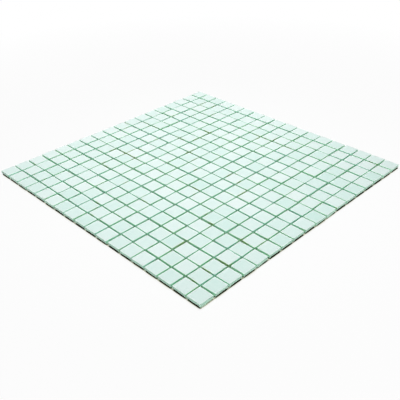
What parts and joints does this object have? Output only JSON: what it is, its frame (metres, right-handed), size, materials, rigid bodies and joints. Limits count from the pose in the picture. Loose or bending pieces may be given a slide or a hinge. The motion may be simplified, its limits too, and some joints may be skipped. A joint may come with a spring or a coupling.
{
  "type": "glass mosaic tile sheet",
  "caption": "Square sheet of small pale mint pressed-glass mosaic tiles, a narrow joint apart, glued by their bevelled backs to a laid glass-fibre net for bedding on a wall or floor.",
  "frame": {"origin": "middle of the sheet, on the surface that it lies on, at the underside of the net", "axes": "+X along the rows of tiles, +Y across the rows, +Z out of the glass face"},
  "size_m": [0.295, 0.295, 0.0047],
  "materials": {
    "mint_glass": "gloss",
    "net_yarn": "matte"
  },
  "bodies": {
    "root": {"net_warp": "net_yarn", "net_weft": "net_yarn", "tile_row_01": "mint_glass", "tile_row_02": "mint_glass", "tile_row_03": "mint_glass", "tile_row_04": "mint_glass", "tile_row_05": "mint_glass", "tile_row_06": "mint_glass", "tile_row_07": "mint_glass", "tile_row_08": "mint_glass", "tile_row_09": "mint_glass", "tile_row_10": "mint_glass", "tile_row_11": "mint_glass", "tile_row_12": "mint_glass", "tile_row_13": "mint_glass", "tile_row_14": "mint_glass", "tile_row_15": "mint_glass", "tile_row_16": "mint_glass", "tile_row_17": "mint_glass", "tile_row_18": "mint_glass"}
  },
  "joints": []
}
